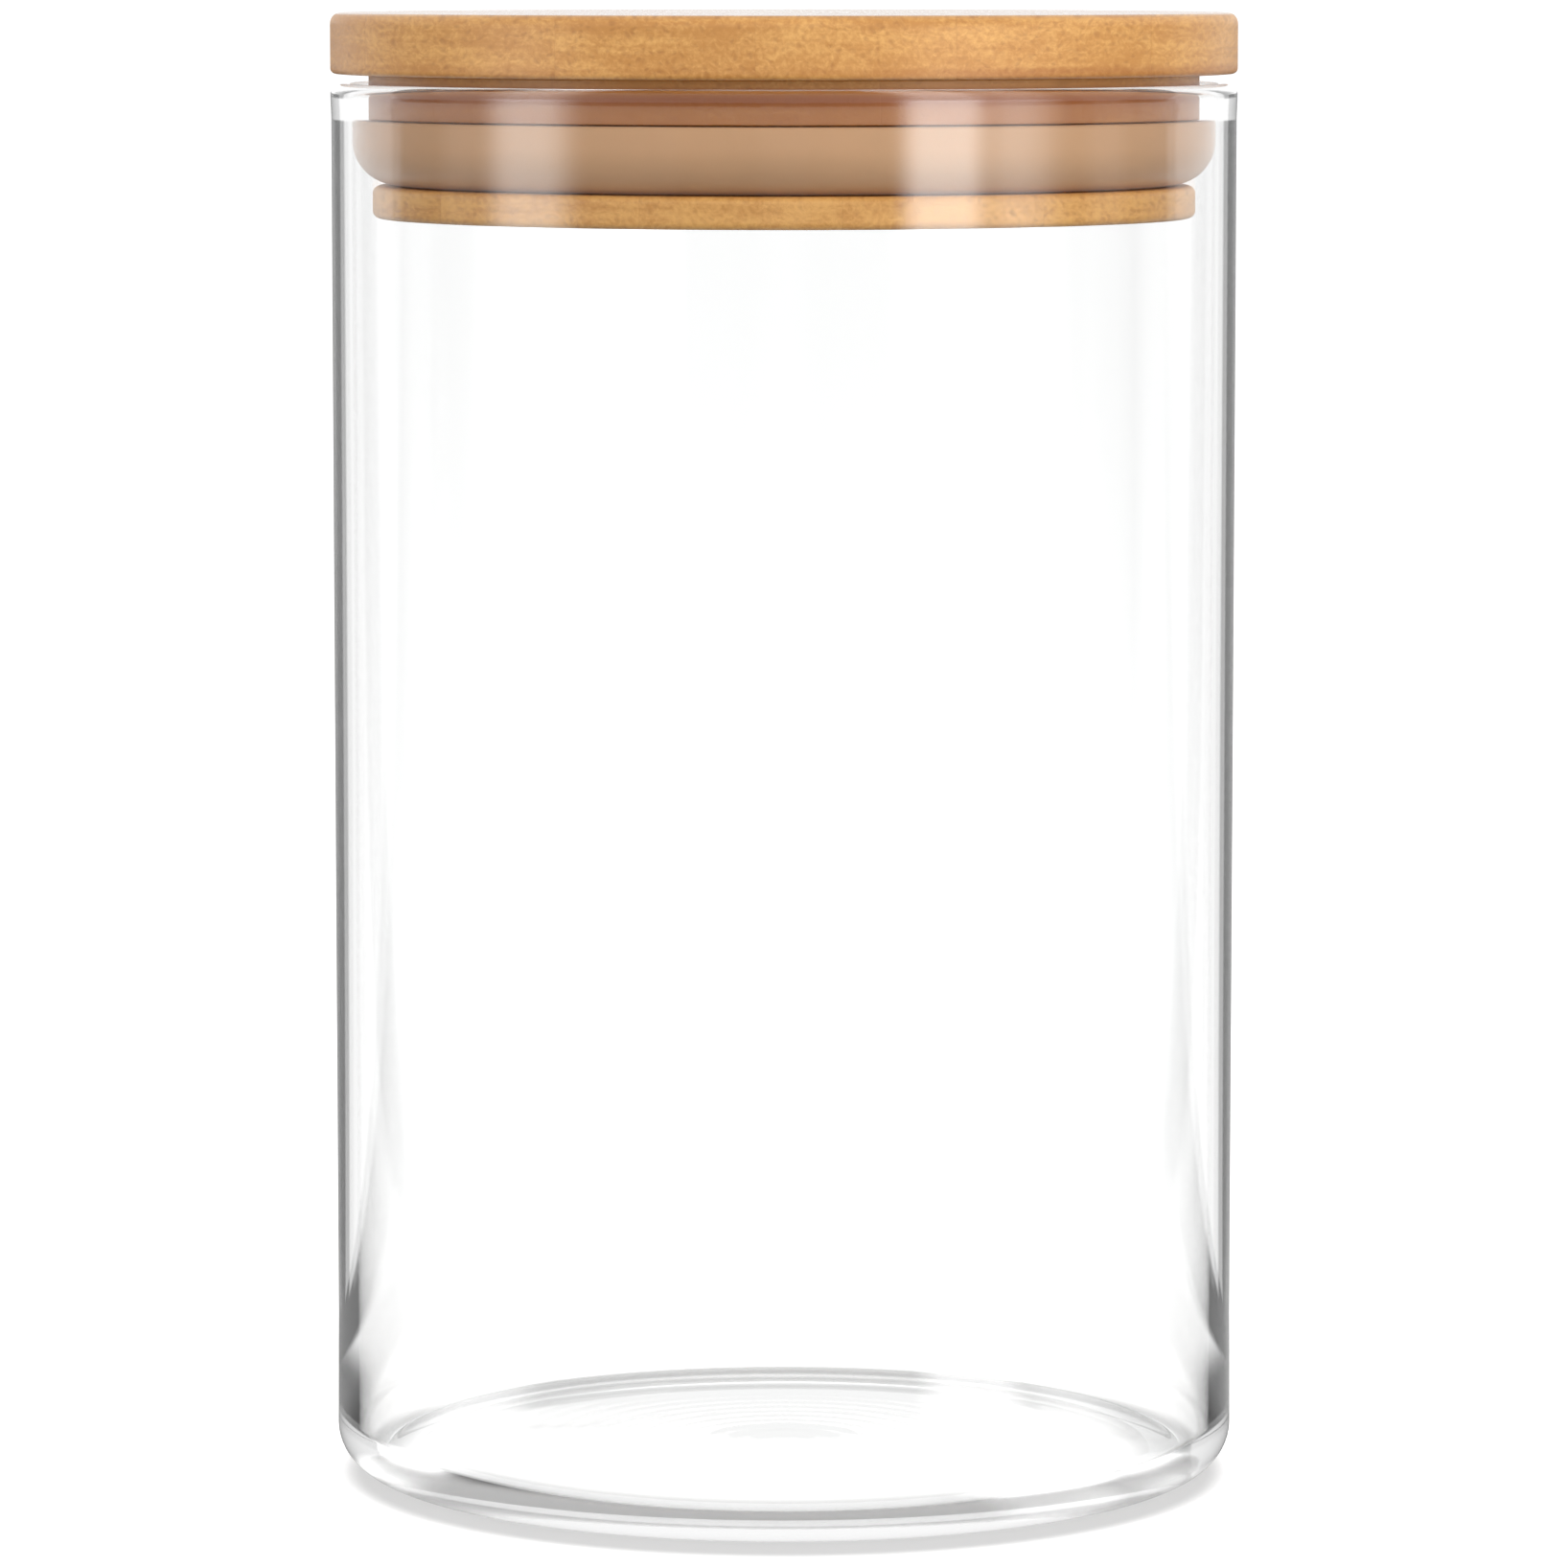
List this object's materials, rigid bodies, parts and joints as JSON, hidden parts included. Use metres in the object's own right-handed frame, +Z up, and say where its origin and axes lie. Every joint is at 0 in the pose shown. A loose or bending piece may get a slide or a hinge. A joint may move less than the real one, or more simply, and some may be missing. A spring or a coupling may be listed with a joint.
{
  "type": "lidded glass canister",
  "caption": "Straight-walled clear glass storage jar with a turned bamboo lid whose plug carries a silicone lip seal.",
  "frame": {"origin": "middle of the base, on the surface that the jar stands on", "axes": "+Z up along the jar's axis, from its foot to its lid; the bamboo's fibres run along Y"},
  "size_m": [0.1, 0.1, 0.162],
  "materials": {
    "clear_glass": "colourless borosilicate glass, fire polished",
    "bamboo": "caramel bamboo under a thin satin lacquer",
    "silicone": "translucent frosted silicone"
  },
  "bodies": {
    "jar": {"glass_jar": "clear_glass"},
    "seal": {"seal_ring": "silicone"},
    "lid": {"lid_disc": "bamboo", "lid_neck": "bamboo", "lid_core": "bamboo", "lid_flange": "bamboo"}
  },
  "joints": [
    {"name": "lid_lift", "type": "slide", "parent": "jar", "child": "seal", "axis": [0, 0, 1], "range_m": [0, 0.12]},
    {"name": "lid_turn", "type": "hinge", "parent": "seal", "child": "lid", "pos_m": [0, 0, 0.1464], "axis": [0, 0, 1], "continuous": true}
  ]
}
